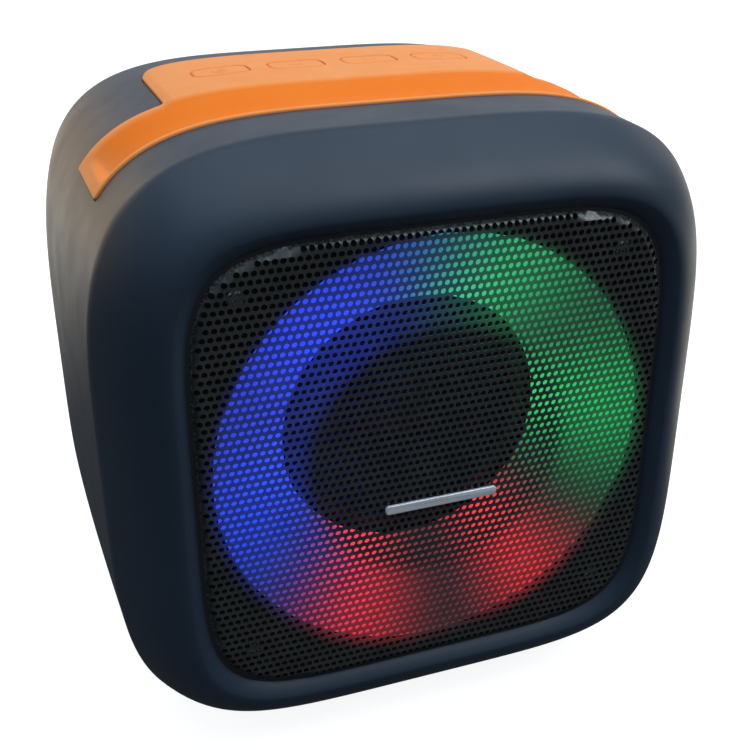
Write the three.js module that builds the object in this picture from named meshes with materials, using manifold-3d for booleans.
// A small rechargeable party speaker: a squared, round-cornered cabinet with a deep front rim,
// a perforated grille over a ring of coloured lights and a 4 inch driver, and a rubbery trim
// with four keys over the top. Millimetres; +X to the listener's right, +Y into the cabinet,
// +Z up. The origin is the bottom centre of the object's box, on the surface it stands on.
import * as THREE from 'three';
import { mergeVertices } from 'three/addons/utils/BufferGeometryUtils.js';
import Module from 'manifold-3d';

const wasm = await Module();
wasm.setup();

// ---------------------------------------------------------------- driving dimensions

const GAP = 0.3; // between two pieces that touch

// Cabinet, measured from the crest of the front rim (depth) and from the grille's centre.
const DEPTH = 159;
const HALF_WIDTH = 97.8;
const HALF_HEIGHT = 96.2;
const FOOT_DROP = 2.6; // how far the feet hold the cabinet off the surface
const CREST_HALF = 76.4; // half width of the rim's foremost line
const BEVEL_WIDTH = 19; // of the slope from the crest to the sides, seen from the front
const BEVEL_DEPTH = 21.3;
const BEVEL_POWER = 1.83; // how quickly the slope turns backwards
const FRONT_SQUARENESS = 5.6; // superellipse exponents: 2 is an ellipse, higher is squarer
const BODY_SQUARENESS = 4.13;
const REAR_SQUARENESS = 4.35;
const WIDEST_AT = 110;
const REAR_TAPER = 3;
const REAR_ROUND_AT = 141;
const REAR_ROUND_INSET = 15;
const WALL = 3;

// Front opening, grille and baffle.
const RECESS_HALF = 73.4;
const RECESS_DEPTH = 6.5;
const FRONT_WALL_BACK = 9.8;
const GRILLE_HALF = 73;
const GRILLE_FRONT = 1.5;
const GRILLE_THICK = 1.2;
const BAFFLE_HALF = 72.9;
const BAFFLE_FRONT = 3.2;
const BAFFLE_THICK = 3;
const RING_OUTER = 67; // radius of the light ring's mouth
const RING_INNER = 42.3; // and of its throat round the driver
const RING_FRONT = 3.6;
const RING_BACK = 21.2;
const WELL_WALL = 1.5;
const BAFFLE_BACK = 29;
const BAFFLE_SCREW_AT = 57.5;
const DRIVER_HOLE = 43.5;
const RING_UP = 1.8; // the ring and the driver are centred a little above the grille's centre

// Driver, from its flange backwards.
const FLANGE_FRONT = 31;
const FLANGE_OUTER = 52;
const FLANGE_INNER = 41.5;
const SHEET = 1.2;
const DRIVER_SCREW_AT = 47.5;
const COIL_OUTER = 13.2;
const COIL_INNER = 12.4;
const MOTOR_FRONT = 52.5;
const PLATE_THICK = 4;
const MAGNET_THICK = 12;
const CONE_TRAVEL = 2.5;

// Lights.
const LED_COUNT = 6;
const LED_FIRST_ANGLE = 25; // degrees clockwise from the top
const LED_AT = 59.5;
const LED_SIZE = 5;
const LED_BOARD_BACK = 25.7;

// Trim over the top, and its keys.
const BAND_FRONT = 44;
const BAND_BACK = 75;
const BAND_END_UP = 77.5; // where the band is cut off on the sides
const BAND_RISE = 0.7; // of the band's rims over the cabinet
const BAND_SEAT = 3.2; // how deep the band sits in the cabinet
const BAND_BACKING = 5.8; // thickness of the cabinet's wall with its rib under the band
// The band's trough: how far behind the band's front edge, and how high over the cabinet.
const TROUGH = [[3, -0.6], [5, -1.7], [9, -1.9], [15, -1.2], [21, 0], [26, 1], [29, 1.6]];
const TROUGH_END = 5; // floor's distance from the cut ends
const PANEL_HALF = 60;
const PANEL_BACK = 122;
const PANEL_CORNER = 10;
const PANEL_RISE = 1.7;
const PANEL_SEAT = 1;
const KEY_SPACING = 25;
const KEY_BACK = 98;
const KEY_LENGTH = 18;
const KEY_WIDTH = 11;
const KEY_CORNER = 3.5;
const KEY_RISE = 2.1;
const KEY_TRAVEL = 0.7;
const KEY_NAMES = ['mode', 'minus', 'play', 'plus'];
const KEY_STEM_RADIUS = 1.5;
const SWITCH_TOP = 91.2;
const BOARD_TOP = 87.6; // height of the key board's upper face
const STAKE_RADIUS = 1.2;
const STAKE_SIDE = 54;

// Rear cover, bass port and sockets.
const REAR_RIM = 2; // width of cabinet left round the cover
const REAR_LEDGE = 4.5;
const COVER_SEAT = 155;
const COVER_THICK = 3.3;
const REAR_SCREW_AT = 56;
const PORT_UP = 32;
const PORT_BORE = 15.5;
const PORT_MOUTH = 19;
const PORT_TUBE_OUTER = 17.3;
const PORT_LENGTH = 62;
const PORT_FLANGE = 24;
const SOCKET_UP = -42;
const SOCKET_PANEL = [92, 20];
const SOCKET_PANEL_DEPTH = 2;
const BOARD_BACK = 141.8;
const BOARD_THICK = 1.6;
const BOARD_SIZE = [96, 44];
const SOCKET_FRONT = BOARD_BACK + GAP;
const SOCKET_BACK = 156.3;
// Each socket: outside width and height, corner radius, and place along the panel.
const SOCKETS = {
  charge: { width: 9.4, height: 3.6, corner: 1.7, side: -34 },
  lens: { width: 3, height: 3, corner: 1.45, side: -22 },
  memory: { width: 12.4, height: 2.6, corner: 0.4, side: -8 },
  host: { width: 13.4, height: 5.8, corner: 0.5, side: 13 },
  audio: { width: 7, height: 7, corner: 3.45, side: 34 },
};

// Battery and cables.
const CELL_RADIUS = 9.2;
const CELL_LENGTH = 65;
const CELL_UP = -78.5;
const CELL_BACK = [104, 123];
const CABLE_RADIUS = 1.1;
const LIGHT_CABLE_END = [-57, LED_BOARD_BACK + GAP, -20];

// Screws and feet.
const SHANK_RADIUS = 1.25;
const PILOT_RADIUS = SHANK_RADIUS + GAP;
const HEAD_RADIUS = 2.8;
const HEAD_THICK = 1.5;
const FOOT_RADIUS = 9;
const FOOT_SIDE = 48;
const FOOT_FRONT = 38;
const FOOT_BACK = 125;
const FOOT_SEAT = 1.3;

const CENTRE_UP = HALF_HEIGHT + FOOT_DROP;
const OUTLINE_STEPS = 40;
const RING_STEPS = 36;
const ROUND_STEPS = 24;
const SMALL_STEPS = 8;
const FOOT_STEPS = 16;

// ---------------------------------------------------------------- materials

function plastic(color, roughness) {
  return new THREE.MeshStandardMaterial({ color, roughness, metalness: 0 });
}

function metal(color, roughness) {
  return new THREE.MeshStandardMaterial({ color, roughness, metalness: 1 });
}

const MATERIALS = {
  cabinet: plastic(0x2b3542, 0.5),
  orange: plastic(0xff7a1c, 0.45),
  blackPlastic: plastic(0x101114, 0.6),
  blackSteel: metal(0x17181b, 0.45),
  milky: plastic(0xe8ebf0, 0.35),
  led: plastic(0xfff6d8, 0.3),
  greenBoard: plastic(0x0f4a2c, 0.5),
  rubber: plastic(0x141414, 0.85),
  paper: plastic(0x1a1a1c, 0.8),
  cloth: plastic(0xb08a3e, 0.9),
  copper: metal(0xb5713c, 0.35),
  steel: metal(0xb9bcc2, 0.35),
  ferrite: plastic(0x2a2a2c, 0.7),
  darkSteel: metal(0x26272b, 0.4),
  foam: plastic(0x222224, 0.95),
  silver: metal(0xc9ccd2, 0.3),
  wrap: plastic(0x1f5fae, 0.4),
  lens: plastic(0xf4f4f4, 0.2),
  cable: plastic(0xa01818, 0.5),
};

// ---------------------------------------------------------------- solids and booleans

// A closed geometry as a manifold, turned to face outwards.
function solidOf(geometry) {
  const bare = geometry.index ? geometry.toNonIndexed() : geometry.clone();
  bare.deleteAttribute('normal');
  bare.deleteAttribute('uv');
  const merged = mergeVertices(bare, 1e-4);
  const triVerts = new Uint32Array(merged.index.array);
  const vertProperties = new Float32Array(merged.attributes.position.array);
  const made = new wasm.Manifold(new wasm.Mesh({ numProp: 3, vertProperties, triVerts }));
  if (made.volume() > 0) return made;
  triVerts.reverse();
  return new wasm.Manifold(new wasm.Mesh({ numProp: 3, vertProperties, triVerts }));
}

function geometryOf(solid) {
  const mesh = solid.getMesh();
  const geometry = new THREE.BufferGeometry();
  geometry.setAttribute('position', new THREE.BufferAttribute(mesh.vertProperties, 3));
  geometry.setIndex(new THREE.BufferAttribute(mesh.triVerts, 1));
  geometry.computeVertexNormals();
  return geometry;
}

function join(...solids) {
  return solids.reduce((whole, piece) => whole.add(piece));
}

function cut(solid, ...tools) {
  return tools.reduce((left, tool) => left.subtract(tool), solid);
}

// A solid of revolution about the depth axis; profile points are [radius, depth].
function turned(profile, steps = ROUND_STEPS) {
  const points = profile.map(([radius, depth]) => new THREE.Vector2(radius, depth));
  const onAxis = profile[0][0] === 0 && profile.at(-1)[0] === 0;
  if (!onAxis) points.push(points[0].clone());
  return solidOf(new THREE.LatheGeometry(points, steps));
}

function disc(radius, front, back, steps = ROUND_STEPS) {
  return turned([[0, front], [radius, front], [radius, back], [0, back]], steps);
}

function ring(inner, outer, front, back, steps = ROUND_STEPS) {
  return turned([[inner, front], [outer, front], [outer, back], [inner, back]], steps);
}

// A box from its low and high corners.
function block(low, high) {
  const size = low.map((value, axis) => high[axis] - value);
  const middle = low.map((value, axis) => (value + high[axis]) / 2);
  return solidOf(new THREE.BoxGeometry(...size).translate(...middle));
}

// An upright post or hole from one height to another.
function post(radius, side, back, low, high, steps = SMALL_STEPS) {
  const geometry = new THREE.CylinderGeometry(radius, radius, high - low, steps);
  return solidOf(geometry.rotateX(Math.PI / 2).translate(side, back, (low + high) / 2));
}

// A round peg or hole along the depth axis.
function peg(radius, side, up, front, back, steps = SMALL_STEPS) {
  const geometry = new THREE.CylinderGeometry(radius, radius, back - front, steps);
  return solidOf(geometry.translate(side, (front + back) / 2, up));
}

function roundedRectangle(width, height, corner) {
  const [x, y] = [width / 2, height / 2];
  const shape = new THREE.Shape();
  shape.moveTo(-x + corner, -y);
  shape.lineTo(x - corner, -y);
  shape.absarc(x - corner, -y + corner, corner, -Math.PI / 2, 0);
  shape.lineTo(x, y - corner);
  shape.absarc(x - corner, y - corner, corner, 0, Math.PI / 2);
  shape.lineTo(-x + corner, y);
  shape.absarc(-x + corner, y - corner, corner, Math.PI / 2, Math.PI);
  shape.lineTo(-x, -y + corner);
  shape.absarc(-x + corner, -y + corner, corner, Math.PI, Math.PI * 1.5);
  return shape;
}

// A rounded rectangle seen from above, standing from one height to another.
function uprightPrism(width, length, corner, side, back, low, high) {
  const options = { depth: high - low, bevelEnabled: false, curveSegments: 4 };
  const geometry = new THREE.ExtrudeGeometry(roundedRectangle(width, length, corner), options);
  return solidOf(geometry.translate(side, back, low));
}

// A rounded rectangle seen from the front or the back, running from one depth to another.
function deepPrism(width, height, corner, side, up, front, back) {
  const options = { depth: back - front, bevelEnabled: false, curveSegments: 3 };
  const geometry = new THREE.ExtrudeGeometry(roundedRectangle(width, height, corner), options);
  return solidOf(geometry.rotateX(Math.PI / 2).translate(side, back, up));
}

// A round cable along a smooth curve through the given points.
function cable(points, radius, steps) {
  const path = new THREE.CatmullRomCurve3(points.map((point) => new THREE.Vector3(...point)));
  const section = new THREE.Shape().absarc(0, 0, radius, 0, Math.PI * 2);
  const options = { steps, extrudePath: path, curveSegments: 3, bevelEnabled: false };
  return solidOf(new THREE.ExtrudeGeometry(section, options));
}

// ---------------------------------------------------------------- squircle lofts

function towards(start, end, share) {
  return start + (end - start) * share;
}

// One cross-section of the cabinet: half width, half height and squareness at a depth.
function bodySection(depth) {
  if (depth <= BEVEL_DEPTH) {
    const share = Math.pow(Math.max(depth, 0) / BEVEL_DEPTH, 1 / BEVEL_POWER);
    const half = CREST_HALF + BEVEL_WIDTH * share;
    return { across: half, upright: half, square: towards(FRONT_SQUARENESS, BODY_SQUARENESS, share) };
  }
  const bevelEnd = CREST_HALF + BEVEL_WIDTH;
  if (depth <= WIDEST_AT) {
    const share = Math.sin(((depth - BEVEL_DEPTH) / (WIDEST_AT - BEVEL_DEPTH)) * (Math.PI / 2));
    const across = towards(bevelEnd, HALF_WIDTH, share);
    const upright = towards(bevelEnd, HALF_HEIGHT, share);
    return { across, upright, square: BODY_SQUARENESS };
  }
  const taper = Math.pow((depth - WIDEST_AT) / (REAR_ROUND_AT - WIDEST_AT), 1.6);
  const turn = Math.max(0, (depth - REAR_ROUND_AT) / (DEPTH - REAR_ROUND_AT));
  const inset = REAR_ROUND_INSET * (1 - Math.sqrt(Math.max(0, 1 - turn * turn)));
  const share = (depth - WIDEST_AT) / (DEPTH - WIDEST_AT);
  return {
    across: HALF_WIDTH - REAR_TAPER * taper - inset,
    upright: HALF_HEIGHT - 0.4 * REAR_TAPER * taper - inset,
    square: towards(BODY_SQUARENESS, REAR_SQUARENESS, share),
  };
}

function grown(section, by) {
  return { ...section, across: section.across + by, upright: section.upright + by };
}

// A solid of superellipse sections at rising depths, closed by a flat face at each end. It is
// a lathe whose rings are pressed out to their own section.
function loft(stations) {
  const rings = [{ ...stations[0], across: 0, upright: 0 }, ...stations];
  rings.push({ ...stations.at(-1), across: 0, upright: 0 });
  const unit = rings.map(({ across, depth }) => new THREE.Vector2(across > 0 ? 1 : 0, depth));
  const geometry = new THREE.LatheGeometry(unit, OUTLINE_STEPS);
  const position = geometry.attributes.position;
  for (let i = 0; i < position.count; i += 1) {
    const { across, upright, square, depth } = rings[i % rings.length];
    const step = Math.floor(i / rings.length) % OUTLINE_STEPS;
    const angle = (step / OUTLINE_STEPS) * Math.PI * 2;
    const [sine, cosine] = [Math.sin(angle), Math.cos(angle)];
    const x = across * Math.sign(sine) * Math.pow(Math.abs(sine), 2 / square);
    const z = upright * Math.sign(cosine) * Math.pow(Math.abs(cosine), 2 / square);
    position.setXYZ(i, x, depth, z);
  }
  return solidOf(geometry);
}

// The cabinet's outer form between two depths, grown or shrunk all round.
function bodyLoft(front, back, by) {
  const bevel = [0, 0.3, 0.6, 0.85, 1].map((share) => BEVEL_DEPTH * Math.pow(share, BEVEL_POWER));
  const sides = [48, 75, WIDEST_AT, 128];
  const turns = [0, 35, 65, 90].map((degrees) => THREE.MathUtils.degToRad(degrees));
  const rear = turns.map((turn) => towards(REAR_ROUND_AT, DEPTH, Math.sin(turn)));
  const between = [...bevel, ...sides, ...rear].filter((depth) => depth > front && depth < back);
  const depths = [front, ...between, back];
  return loft(depths.map((depth) => ({ ...grown(bodySection(depth), by), depth })));
}

// A straight squircle prism.
function squirclePrism(half, square, front, back) {
  const section = { across: half, upright: half, square };
  return loft([{ ...section, depth: front }, { ...section, depth: back }]);
}

function corners(side, up) {
  return [[-side, up], [side, up], [side, -up], [-side, -up]];
}

// ---------------------------------------------------------------- cabinet

// The trim's outline, grown by a clearance: a band across the top and a panel behind it.
function bandBlock(by) {
  const low = [-HALF_WIDTH - 20, BAND_FRONT - by, BAND_END_UP - by];
  return block(low, [HALF_WIDTH + 20, BAND_BACK + by, HALF_HEIGHT + 20]);
}

function panelPrism(by) {
  const length = PANEL_BACK - BAND_BACK + 2 * PANEL_CORNER + by;
  const middle = PANEL_BACK + by - length / 2;
  const width = 2 * (PANEL_HALF + by);
  return uprightPrism(width, length, PANEL_CORNER, 0, middle, BAND_END_UP, HALF_HEIGHT + 20);
}

// The layer between two heights over the cabinet's form, over the trim's length and a little more.
function trimLayer(high, low) {
  const above = bodyLoft(BAND_FRONT - 3, PANEL_BACK + 3, high);
  return cut(above, bodyLoft(BAND_FRONT - 4, PANEL_BACK + 4, low));
}

function keyPlaces() {
  return KEY_NAMES.map((name, i) => [name, (i - (KEY_NAMES.length - 1) / 2) * KEY_SPACING]);
}

function housingShell() {
  const outside = bodyLoft(0, DEPTH, 0);
  const cavity = bodyLoft(FRONT_WALL_BACK, COVER_SEAT - WALL, -WALL - 0.6);
  const recess = squirclePrism(RECESS_HALF, FRONT_SQUARENESS, -1, RECESS_DEPTH);
  const ringHoleRadius = RING_OUTER + WELL_WALL + 2 * GAP + 0.1;
  const ringHole = raised(disc(ringHoleRadius, RECESS_DEPTH - 1, FRONT_WALL_BACK + 1, RING_STEPS));
  const rear = bodySection(DEPTH);
  const coverSeat = grown(rear, -REAR_RIM);
  const mouth = grown(coverSeat, -REAR_LEDGE);
  const rebate = loft([{ ...coverSeat, depth: COVER_SEAT }, { ...coverSeat, depth: DEPTH + 1 }]);
  const opening = loft([{ ...mouth, depth: COVER_SEAT - 6 }, { ...mouth, depth: COVER_SEAT + 1 }]);
  let shell = cut(outside, cavity, recess, ringHole, rebate, opening);

  shell = join(shell, trimLayer(-1, -BAND_BACKING).intersect(bandBlock(2)));
  const bandSeat = trimLayer(8, -BAND_SEAT - GAP).intersect(bandBlock(GAP));
  const panelSeat = trimLayer(8, -PANEL_SEAT - GAP).intersect(panelPrism(GAP));
  shell = cut(shell, bandSeat, panelSeat);

  for (const [side, up] of corners(BAFFLE_SCREW_AT, BAFFLE_SCREW_AT)) {
    shell = join(shell, peg(4, side, up, FRONT_WALL_BACK - 1, 16));
    shell = cut(shell, peg(PILOT_RADIUS, side, up, RECESS_DEPTH - 1, 14));
  }
  for (const [side, up] of corners(REAR_SCREW_AT, REAR_SCREW_AT)) {
    const inner = side > 0 ? side - 2 : side + 2;
    const web = block(
      [Math.min(inner, side * 1.12), 150, Math.min(up * 0.97, up * 1.12)],
      [Math.max(inner, side * 1.12), COVER_SEAT, Math.max(up * 0.97, up * 1.12)],
    );
    shell = join(shell, peg(4.5, side, up, 143, COVER_SEAT), web);
    shell = cut(shell, peg(PILOT_RADIUS, side, up, 145, COVER_SEAT + 1));
  }
  for (const side of [-STAKE_SIDE, STAKE_SIDE]) {
    shell = join(shell, post(3, side, KEY_BACK, BOARD_TOP + GAP, 92.2));
    shell = join(shell, post(STAKE_RADIUS, side, KEY_BACK, BOARD_TOP - 2.6, BOARD_TOP + 1));
  }
  for (const [, side] of keyPlaces()) {
    shell = cut(shell, post(KEY_STEM_RADIUS + 0.4, side, KEY_BACK, 88, HALF_HEIGHT + 1));
  }
  for (const [side, back] of footPlaces()) {
    const seat = post(FOOT_RADIUS + GAP, side, back, -HALF_HEIGHT - 5, footSeatUp(side, back), FOOT_STEPS);
    shell = cut(shell, seat);
  }
  return shell;
}

function footPlaces() {
  return [[-FOOT_SIDE, FOOT_FRONT], [FOOT_SIDE, FOOT_FRONT], [FOOT_SIDE, FOOT_BACK], [-FOOT_SIDE, FOOT_BACK]];
}

// Height of the cabinet's skin at a point of its underside.
function underside(side, depth) {
  const { across, upright, square } = bodySection(depth);
  return -upright * Math.pow(1 - Math.pow(Math.abs(side) / across, square), 1 / square);
}

function footSeatUp(side, back) {
  return underside(side, back) + FOOT_SEAT;
}

function foot(side, back) {
  const top = footSeatUp(side, back) - GAP;
  const bottom = -CENTRE_UP;
  const profile = [
    [0, bottom],
    [FOOT_RADIUS - 1, bottom],
    [FOOT_RADIUS, bottom + 1],
    [FOOT_RADIUS, top],
    [0, top],
  ];
  const points = profile.map(([radius, up]) => new THREE.Vector2(radius, up));
  const geometry = new THREE.LatheGeometry(points, FOOT_STEPS);
  return solidOf(geometry.rotateX(Math.PI / 2).translate(side, back, 0));
}

// ---------------------------------------------------------------- front

function grille() {
  return squirclePrism(GRILLE_HALF, FRONT_SQUARENESS, GRILLE_FRONT, GRILLE_FRONT + GRILLE_THICK);
}

function grilleBadge() {
  return deepPrism(36, 3, 1.2, 1, -14.5, 0.4, GRILLE_FRONT - GAP);
}

// Moved up to the axis of the ring and the driver.
function raised(solid) {
  return solid.translate([0, 0, RING_UP]);
}

// A square plate with a cup behind it: the cup holds the light ring and carries the driver.
function frontBaffle() {
  const plateBack = BAFFLE_FRONT + BAFFLE_THICK;
  const wellInner = RING_OUTER + GAP;
  const wellOuter = wellInner + WELL_WALL;
  const plate = squirclePrism(BAFFLE_HALF, FRONT_SQUARENESS, BAFFLE_FRONT, plateBack);
  const well = raised(disc(wellOuter, plateBack - 1, BAFFLE_BACK, RING_STEPS));
  const hollow = raised(disc(wellInner, BAFFLE_FRONT - 1, BAFFLE_BACK - BAFFLE_THICK, RING_STEPS));
  let baffle = cut(join(plate, well), hollow);
  for (const [side, up] of driverScrewPlaces()) {
    baffle = join(baffle, raised(peg(3, side, up, 23.3, BAFFLE_BACK - 1)));
    baffle = cut(baffle, raised(peg(PILOT_RADIUS, side, up, 24.2, BAFFLE_BACK + 1)));
  }
  baffle = cut(baffle, raised(disc(DRIVER_HOLE, BAFFLE_BACK - 5, BAFFLE_BACK + 1, RING_STEPS)));
  for (const [side, up] of corners(BAFFLE_SCREW_AT, BAFFLE_SCREW_AT)) {
    baffle = cut(baffle, peg(PILOT_RADIUS, side, up, BAFFLE_FRONT - 1, plateBack + 1));
    baffle = cut(baffle, peg(HEAD_RADIUS + 2 * GAP, side, up, BAFFLE_FRONT - 1, BAFFLE_FRONT + 1.9));
  }
  const [side, , up] = LIGHT_CABLE_END;
  return cut(baffle, peg(CABLE_RADIUS + 0.7, side, up, BAFFLE_BACK - 5, BAFFLE_BACK + 1));
}

function driverScrewPlaces() {
  const reach = DRIVER_SCREW_AT * Math.SQRT1_2;
  return corners(reach, reach);
}

// The milky funnel that the lights shine through.
function ledDiffuser() {
  return turned([
    [RING_OUTER, RING_FRONT],
    [RING_INNER, RING_BACK],
    [RING_INNER, 25.7],
    [RING_INNER + 1.8, 25.7],
    [RING_INNER + 1.8, RING_BACK + 1.4],
    [RING_OUTER, RING_FRONT + 2.3],
  ], RING_STEPS);
}

function ledBoard() {
  return ring(52.5, 66, LED_BOARD_BACK - 1.6, LED_BOARD_BACK);
}

function led(index) {
  const degrees = LED_FIRST_ANGLE + (index * 360) / LED_COUNT;
  const back = LED_BOARD_BACK - 1.6 - GAP;
  const geometry = new THREE.BoxGeometry(LED_SIZE, 1.6, LED_SIZE);
  geometry.translate(0, back - 0.8, LED_AT);
  return solidOf(geometry.rotateY(THREE.MathUtils.degToRad(degrees)));
}

// ---------------------------------------------------------------- driver

function wooferGasket() {
  const gasket = ring(45, 51.5, BAFFLE_BACK + GAP, FLANGE_FRONT - GAP);
  const holes = driverScrewPlaces().map(([side, up]) => peg(2, side, up, BAFFLE_BACK - 1, FLANGE_FRONT + 1));
  return cut(gasket, ...holes);
}

// Pressed steel basket: flange, open cone, shelf for the spider, and floor.
function wooferFrame() {
  const back = FLANGE_FRONT + SHEET;
  let frame = turned([
    [FLANGE_OUTER, FLANGE_FRONT],
    [FLANGE_OUTER, back],
    [FLANGE_INNER + 2, back],
    [33, 47.8],
    [28.7, 47.8],
    [28.7, MOTOR_FRONT - GAP],
    [16, MOTOR_FRONT - GAP],
    [16, MOTOR_FRONT - GAP - SHEET],
    [27.5, MOTOR_FRONT - GAP - SHEET],
    [27.5, 46.6],
    [31.5, 46.6],
    [FLANGE_INNER, back - 0.4],
    [FLANGE_INNER, FLANGE_FRONT],
  ]);
  frame = cut(frame, block([-12, 34.5, -50], [12, 45, 50]), block([-50, 34.5, -12], [50, 45, 12]));
  const holes = driverScrewPlaces().map(([side, up]) => peg(1.8, side, up, FLANGE_FRONT - 1, back + 1));
  return cut(frame, ...holes);
}

// Rubber half-roll between the flange and the cone.
function wooferSurround() {
  const roll = [25, 90, 155].map((degrees) => THREE.MathUtils.degToRad(degrees));
  const crown = roll.map((turn) => [38.8 + 2.6 * Math.cos(turn), 30.2 - 2.4 * Math.sin(turn)]);
  const under = roll.map((turn) => [38.8 + 2.1 * Math.cos(turn), 30.7 - 2.4 * Math.sin(turn)]);
  return turned([
    [44.6, 30.7],
    [44.6, 30.2],
    ...crown,
    [35, 30.2],
    [35, 30.7],
    ...under.reverse(),
  ]);
}

function wooferCone() {
  return turned([
    [36, 31],
    [COIL_OUTER + GAP, 43.6],
    [COIL_OUTER + GAP, 44.6],
    [COIL_OUTER + 0.9, 44.6],
    [36, 32],
  ]);
}

function dustCap() {
  const turns = [0, 1, 2, 3].map((share) => (share / 3) * (Math.PI / 2));
  const dome = turns.map((turn) => [15 * Math.sin(turn), 42 - 5.5 * Math.cos(turn)]);
  const hollow = turns.map((turn) => [14.2 * Math.sin(turn), 42 - 4.7 * Math.cos(turn)]);
  dome[0][0] = 0;
  hollow[0][0] = 0;
  return turned([...dome, ...hollow.reverse()], 28);
}

function voiceCoil() {
  return ring(COIL_INNER, COIL_OUTER, 43.2, 61, 28);
}

// Corrugated disc that centres the coil.
function spider() {
  const radii = [13.5, 17, 20.5, 24, 27.5, 31];
  const front = radii.map((radius, i) => [radius, 44.9 + 0.5 * (i % 2)]);
  const back = radii.map((radius, i) => [radius, 45.6 + 0.5 * (i % 2)]);
  return turned([...front, ...back.reverse()]);
}

function topPlate() {
  return ring(13.9, 29, MOTOR_FRONT, MOTOR_FRONT + PLATE_THICK);
}

function magnet() {
  const front = MOTOR_FRONT + PLATE_THICK + GAP;
  return ring(16.5, 33, front, front + MAGNET_THICK);
}

// Back plate with the pole that stands inside the coil.
function yoke() {
  const front = MOTOR_FRONT + PLATE_THICK + MAGNET_THICK + 2 * GAP;
  return turned([
    [0, MOTOR_FRONT],
    [11.9, MOTOR_FRONT],
    [11.9, front],
    [29, front],
    [29, front + PLATE_THICK],
    [0, front + PLATE_THICK],
  ]);
}

// ---------------------------------------------------------------- trim and keys

// The space over the trough's floor, which rises towards the back.
function troughSpace() {
  const depths = TROUGH.map(([behind]) => BAND_FRONT + behind);
  const above = bodyLoft(depths[0], depths.at(-1), 8);
  const heights = TROUGH.map(([, high]) => high);
  const floor = loft(depths.map((depth, i) => ({ ...grown(bodySection(depth), heights[i]), depth })));
  const low = [-HALF_WIDTH - 20, 0, BAND_END_UP + TROUGH_END];
  return cut(above, floor).intersect(block(low, [HALF_WIDTH + 20, DEPTH, HALF_HEIGHT + 20]));
}

function topTrim() {
  const band = trimLayer(BAND_RISE, -BAND_SEAT).intersect(bandBlock(0));
  const panel = trimLayer(PANEL_RISE, -PANEL_SEAT).intersect(panelPrism(0));
  let trim = cut(join(band, panel), troughSpace());
  for (const [, side] of keyPlaces()) {
    trim = cut(trim, keyPrism(side, 0.35));
  }
  return trim;
}

function keyPrism(side, by) {
  const [length, width] = [KEY_LENGTH + 2 * by, KEY_WIDTH + 2 * by];
  return uprightPrism(length, width, KEY_CORNER + by, side, KEY_BACK, 88, HALF_HEIGHT + 10);
}

// A key's cap follows the panel's crown; its stem ends in the well of its switch.
function key(side) {
  const cap = trimLayer(KEY_RISE, KEY_TRAVEL - PANEL_SEAT).intersect(keyPrism(side, 0));
  return join(cap, post(KEY_STEM_RADIUS, side, KEY_BACK, SWITCH_TOP - 0.2, HALF_HEIGHT + 0.5));
}

function keyBoard() {
  const board = block([-62, KEY_BACK - 9, BOARD_TOP - 1.6], [62, KEY_BACK + 9, BOARD_TOP]);
  const holes = [-STAKE_SIDE, STAKE_SIDE].map((side) =>
    post(STAKE_RADIUS + GAP, side, KEY_BACK, BOARD_TOP - 5, BOARD_TOP + 5));
  return cut(board, ...holes);
}

function tactSwitch(side) {
  const body = block([side - 3, KEY_BACK - 3, BOARD_TOP + GAP], [side + 3, KEY_BACK + 3, SWITCH_TOP]);
  const well = post(KEY_STEM_RADIUS + 0.4, side, KEY_BACK, SWITCH_TOP - KEY_TRAVEL - 0.4, SWITCH_TOP + 1);
  return cut(body, well);
}

// ---------------------------------------------------------------- rear

function rearCover() {
  const outline = grown(bodySection(DEPTH), -REAR_RIM - 0.4);
  const front = COVER_SEAT + GAP;
  const back = front + COVER_THICK;
  let cover = loft([{ ...outline, depth: front }, { ...outline, depth: back }]);
  const [panelWidth, panelHeight] = SOCKET_PANEL;
  const recessFloor = back - SOCKET_PANEL_DEPTH;
  const backing = deepPrism(panelWidth + 6, panelHeight + 6, 5, 0, SOCKET_UP, front - 2, front + 1);
  cover = join(cover, backing);
  cover = cut(cover, deepPrism(panelWidth, panelHeight, 4, 0, SOCKET_UP, recessFloor, back + 1));
  cover = cut(cover, peg(PORT_MOUTH + 1.5, 0, PORT_UP, front - 1, back + 1, 28));
  for (const [side, up] of corners(REAR_SCREW_AT, REAR_SCREW_AT)) {
    cover = cut(cover, peg(PILOT_RADIUS + 0.2, side, up, front - 1, back + 1));
    cover = cut(cover, peg(HEAD_RADIUS + 2 * GAP, side, up, back - 1.9, back + 1));
  }
  const [boardWidth, boardHeight] = BOARD_SIZE;
  for (const [side, up] of corners(boardWidth / 2 - 4, boardHeight / 2 - 4)) {
    cover = join(cover, peg(3, side, SOCKET_UP + up, BOARD_BACK + GAP, front + 1));
    cover = join(cover, peg(STAKE_RADIUS, side, SOCKET_UP + up, BOARD_BACK - 2.6, BOARD_BACK + 1));
  }
  for (const { width, height, corner, side } of Object.values(SOCKETS)) {
    const [slotWidth, slotHeight] = [width + 0.8, height + 0.8];
    cover = cut(cover, deepPrism(slotWidth, slotHeight, corner + 0.4, side, SOCKET_UP, front - 4, back + 1));
  }
  return cover;
}

function socketBody({ width, height, corner, side }) {
  return deepPrism(width, height, corner, side, SOCKET_UP, SOCKET_FRONT, SOCKET_BACK);
}

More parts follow.
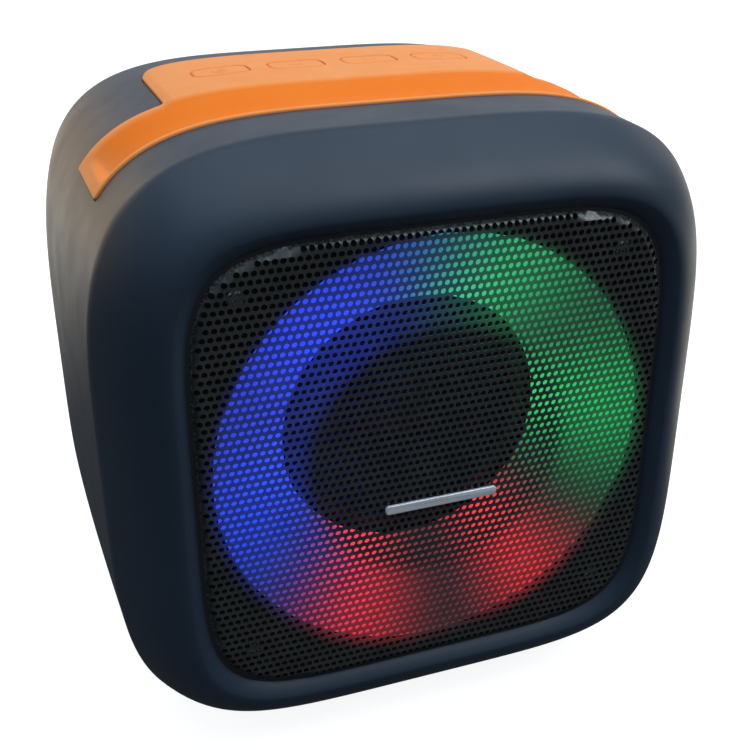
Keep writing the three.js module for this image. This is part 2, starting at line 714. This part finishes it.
// A metal shell with a tongue inside.
function tongueSocket(place, wall, tongueWidth, tongueHeight) {
  const { width, height, corner, side } = place;
  const [hollowWidth, hollowHeight] = [width - 2 * wall, height - 2 * wall];
  const hollowCorner = Math.max(corner - wall, 0.1);
  const floor = SOCKET_BACK - 9;
  const hollow = deepPrism(hollowWidth, hollowHeight, hollowCorner, side, SOCKET_UP, floor, SOCKET_BACK + 1);
  const tongue = block(
    [side - tongueWidth / 2, floor - 1, SOCKET_UP - tongueHeight / 2],
    [side + tongueWidth / 2, SOCKET_BACK - 1, SOCKET_UP + tongueHeight / 2],
  );
  return join(cut(socketBody(place), hollow), tongue);
}

function memorySocket() {
  const { side } = SOCKETS.memory;
  const low = [side - 5.6, SOCKET_BACK - 11, SOCKET_UP - 0.6];
  return cut(socketBody(SOCKETS.memory), block(low, [side + 5.6, SOCKET_BACK + 1, SOCKET_UP + 0.6]));
}

function audioSocket() {
  const { side } = SOCKETS.audio;
  return cut(socketBody(SOCKETS.audio), peg(1.8, side, SOCKET_UP, SOCKET_BACK - 12, SOCKET_BACK + 1));
}

// Flared tube glued to the inside of the rear cover.
function portTube() {
  const back = COVER_SEAT + GAP + COVER_THICK;
  const front = back - PORT_LENGTH;
  const seat = COVER_SEAT;
  const tube = turned([
    [PORT_BORE, front],
    [PORT_TUBE_OUTER, front],
    [PORT_TUBE_OUTER, seat - 3],
    [PORT_FLANGE, seat - 3],
    [PORT_FLANGE, seat],
    [PORT_MOUTH + 1.1, seat],
    [PORT_MOUTH + 1.1, back],
    [PORT_MOUTH, back],
    [PORT_MOUTH - 1.8, back - 2],
    [PORT_MOUTH - 3, back - 5],
    [PORT_BORE, back - 9],
  ], 28);
  return tube.translate([0, 0, PORT_UP]);
}

function mainBoard() {
  const [width, height] = BOARD_SIZE;
  const low = [-width / 2, BOARD_BACK - BOARD_THICK, SOCKET_UP - height / 2];
  const board = block(low, [width / 2, BOARD_BACK, SOCKET_UP + height / 2]);
  const holes = corners(width / 2 - 4, height / 2 - 4).map(([side, up]) =>
    peg(STAKE_RADIUS + GAP, side, SOCKET_UP + up, BOARD_BACK - 5, BOARD_BACK + 5));
  return cut(board, ...holes);
}

// ---------------------------------------------------------------- battery and cables

function cell(back) {
  const geometry = new THREE.CylinderGeometry(CELL_RADIUS, CELL_RADIUS, CELL_LENGTH, 24);
  return solidOf(geometry.rotateZ(Math.PI / 2).translate(0, back, CELL_UP));
}

// Two cells in one shrink sleeve.
function batteryPack() {
  const [near, far] = CELL_BACK;
  const half = CELL_LENGTH / 2;
  const sleeve = block([-half, near, CELL_UP - 6], [half, far, CELL_UP + 6]);
  return join(cell(near), cell(far), sleeve);
}

// Open tray that holds the pack on the cabinet's floor.
function batteryHolder() {
  const [near, far] = CELL_BACK;
  const half = CELL_LENGTH / 2 + GAP;
  const edge = CELL_RADIUS + GAP;
  const bottom = CELL_UP - CELL_RADIUS - 2.6;
  const low = [-half - 2, near - edge - 2, bottom];
  const outer = block(low, [half + 2, far + edge + 2, CELL_UP + 2]);
  return cut(outer, block([-half, near - edge, bottom + 2], [half, far + edge, CELL_UP + 5]));
}

function speakerCable() {
  const start = BOARD_BACK - BOARD_THICK - GAP;
  const route = [[24, start, -30], [26, 128, -31], [44, 100, -26], [46, 70, -18], [32, 46, -14]];
  return cable(route, CABLE_RADIUS, 22);
}

function lightCable() {
  const start = BOARD_BACK - BOARD_THICK - GAP;
  const [side, end, up] = LIGHT_CABLE_END;
  const route = [[-24, start, -30], [-26, 128, -32], [-50, 95, -34], [side, 50, up], [side, end, up]];
  return cable(route, CABLE_RADIUS, 26);
}

// ---------------------------------------------------------------- screws

// A pan head screw along the depth axis. Its head stands at headDepth; sense +1 points its tip
// into the cabinet, and -1 towards the front.
function screw(side, up, headDepth, length, sense) {
  const profile = [
    [0, 0],
    [HEAD_RADIUS, 0],
    [HEAD_RADIUS, HEAD_THICK],
    [SHANK_RADIUS, HEAD_THICK],
    [SHANK_RADIUS, length - 1],
    [0, length],
  ];
  const points = profile.map(([radius, depth]) => new THREE.Vector2(radius, depth * sense));
  return solidOf(new THREE.LatheGeometry(points, SMALL_STEPS)).translate([side, headDepth, up]);
}

// ---------------------------------------------------------------- assembly

const speaker = new THREE.Group();
const cabinet = new THREE.Group();
cabinet.position.set(0, -DEPTH / 2, CENTRE_UP);
speaker.add(cabinet);

const driverAxis = new THREE.Group();
driverAxis.position.set(0, 0, RING_UP);
cabinet.add(driverAxis);

function place(name, solid, material, group = cabinet) {
  const mesh = new THREE.Mesh(geometryOf(solid), material);
  mesh.name = name;
  group.add(mesh);
}

place('housing_shell', housingShell(), MATERIALS.cabinet);
place('grille', grille(), MATERIALS.blackSteel);
place('grille_badge', grilleBadge(), MATERIALS.silver);
place('front_baffle', frontBaffle(), MATERIALS.blackPlastic);
place('led_diffuser', ledDiffuser(), MATERIALS.milky, driverAxis);
place('led_board', ledBoard(), MATERIALS.greenBoard, driverAxis);
for (let i = 0; i < LED_COUNT; i += 1) {
  place(`led_${i + 1}`, led(i), MATERIALS.led, driverAxis);
}

place('woofer_gasket', wooferGasket(), MATERIALS.foam, driverAxis);
place('woofer_frame', wooferFrame(), MATERIALS.darkSteel, driverAxis);
place('woofer_surround', wooferSurround(), MATERIALS.rubber, driverAxis);
place('woofer_cone', wooferCone(), MATERIALS.paper, driverAxis);
place('dust_cap', dustCap(), MATERIALS.paper, driverAxis);
place('voice_coil', voiceCoil(), MATERIALS.copper, driverAxis);
place('spider', spider(), MATERIALS.cloth, driverAxis);
place('top_plate', topPlate(), MATERIALS.steel, driverAxis);
place('magnet', magnet(), MATERIALS.ferrite, driverAxis);
place('yoke', yoke(), MATERIALS.steel, driverAxis);

place('top_trim', topTrim(), MATERIALS.orange);
place('key_board', keyBoard(), MATERIALS.greenBoard);
for (const [name, side] of keyPlaces()) {
  place(`key_${name}`, key(side), MATERIALS.orange);
  place(`tact_switch_${name}`, tactSwitch(side), MATERIALS.blackPlastic);
}

place('rear_cover', rearCover(), MATERIALS.cabinet);
place('port_tube', portTube(), MATERIALS.blackPlastic);
place('main_board', mainBoard(), MATERIALS.greenBoard);
place('charge_socket', tongueSocket(SOCKETS.charge, 0.35, 6.6, 0.7), MATERIALS.steel);
place('charge_light_lens', socketBody(SOCKETS.lens), MATERIALS.lens);
place('memory_card_socket', memorySocket(), MATERIALS.steel);
place('host_socket', tongueSocket(SOCKETS.host, 0.4, 11, 1.8), MATERIALS.steel);
place('audio_socket', audioSocket(), MATERIALS.blackPlastic);
place('battery_holder', batteryHolder(), MATERIALS.blackPlastic);
place('battery_pack', batteryPack(), MATERIALS.wrap);
place('speaker_cable', speakerCable(), MATERIALS.cable);
place('light_cable', lightCable(), MATERIALS.cable);

const rearHeadDepth = COVER_SEAT + GAP + COVER_THICK - GAP;
corners(REAR_SCREW_AT, REAR_SCREW_AT).forEach(([side, up], i) => {
  place(`rear_screw_${i + 1}`, screw(side, up, rearHeadDepth, 11, -1), MATERIALS.darkSteel);
});
corners(BAFFLE_SCREW_AT, BAFFLE_SCREW_AT).forEach(([side, up], i) => {
  place(`baffle_screw_${i + 1}`, screw(side, up, BAFFLE_FRONT + GAP, 9, 1), MATERIALS.steel);
});
const driverHeadDepth = FLANGE_FRONT + SHEET + GAP + HEAD_THICK;
driverScrewPlaces().forEach(([side, up], i) => {
  place(`woofer_screw_${i + 1}`, screw(side, up, driverHeadDepth, 9, -1), MATERIALS.steel, driverAxis);
});
footPlaces().forEach(([side, back], i) => {
  place(`foot_${i + 1}`, foot(side, back), MATERIALS.rubber);
});

export default speaker;
